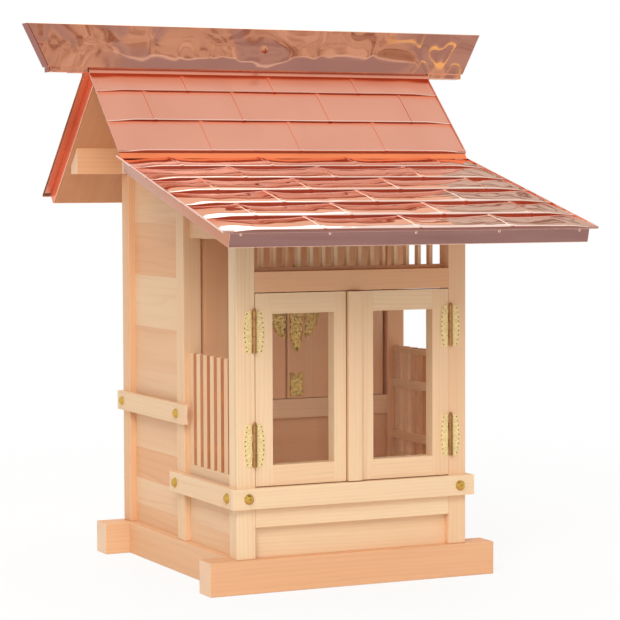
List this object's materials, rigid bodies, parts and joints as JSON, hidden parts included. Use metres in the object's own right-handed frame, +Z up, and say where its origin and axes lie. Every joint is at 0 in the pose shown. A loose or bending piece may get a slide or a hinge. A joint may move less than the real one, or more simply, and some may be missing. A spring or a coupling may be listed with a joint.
{
  "type": "wayside shrine",
  "caption": "Small outdoor timber shrine with a glazed double door, latticed side windows, an inner sanctuary with its own doors and a stepped copper roof under a boxed ridge.",
  "frame": {"origin": "on the ground, under the middle of the roof's plan", "axes": "+X to the right seen from the front, +Y to the back, +Z up"},
  "size_m": [0.538, 0.5156, 0.5748],
  "materials": {
    "cypress": "planed, unvarnished",
    "copper": "new copper sheet, satin to glossy",
    "brass": "gilded brass",
    "glass": "clear"
  },
  "bodies": {
    "shrine": {"door_head": "cypress", "front_apron": "cypress", "front_floor": "cypress", "front_roof_boards": "cypress", "front_roof_copper": "copper", "front_roof_trim": "copper", "front_sill": "cypress", "inner_floor": "cypress", "inner_head": "cypress", "inner_kick_panel": "cypress", "inner_threshold": "cypress", "left_apron": "cypress", "left_front_post": "cypress", "left_middle_post": "cypress", "left_rear_post": "cypress", "left_sill": "cypress", "left_wall": "cypress", "left_window_lattice": "cypress", "left_window_lintel": "cypress", "main_roof_trim": "copper", "middle_purlin": "cypress", "post_hinge_leaves": "brass", "rear_purlin": "cypress", "rear_roof_boards": "cypress", "rear_roof_copper": "copper", "rear_sill": "cypress", "rear_wall": "cypress", "ridge_box": "copper", "right_apron": "cypress", "right_front_post": "cypress", "right_middle_post": "cypress", "right_rear_post": "cypress", "right_sill": "cypress", "right_wall": "cypress", "right_window_lattice": "cypress", "right_window_lintel": "cypress", "steep_roof_boards": "cypress", "steep_roof_copper": "copper", "transom_lattice": "cypress", "upper_rail": "cypress", "waist_rail": "cypress"},
    "left_door": {"left_door": "cypress", "left_door_glass": "glass", "left_door_hinge_leaves": "brass"},
    "right_door": {"right_door": "cypress", "right_door_glass": "glass", "right_door_hinge_leaves": "brass"},
    "left_inner_door": {"left_inner_door": "cypress"},
    "right_inner_door": {"right_inner_door": "cypress"}
  },
  "joints": [
    {"name": "left_door_hinge", "type": "hinge", "parent": "shrine", "child": "left_door", "pos_m": [-0.1104, -0.1201, 0.2], "axis": [0, 0, -1], "range_deg": [0, 160]},
    {"name": "right_door_hinge", "type": "hinge", "parent": "shrine", "child": "right_door", "pos_m": [0.1104, -0.1201, 0.2], "axis": [0, 0, 1], "range_deg": [0, 160]},
    {"name": "left_inner_hinge", "type": "hinge", "parent": "shrine", "child": "left_inner_door", "pos_m": [-0.101, 0.03025, 0.27], "axis": [0, 0, -1], "range_deg": [0, 90]},
    {"name": "right_inner_hinge", "type": "hinge", "parent": "shrine", "child": "right_inner_door", "pos_m": [0.101, 0.03025, 0.27], "axis": [0, 0, 1], "range_deg": [0, 90]}
  ]
}
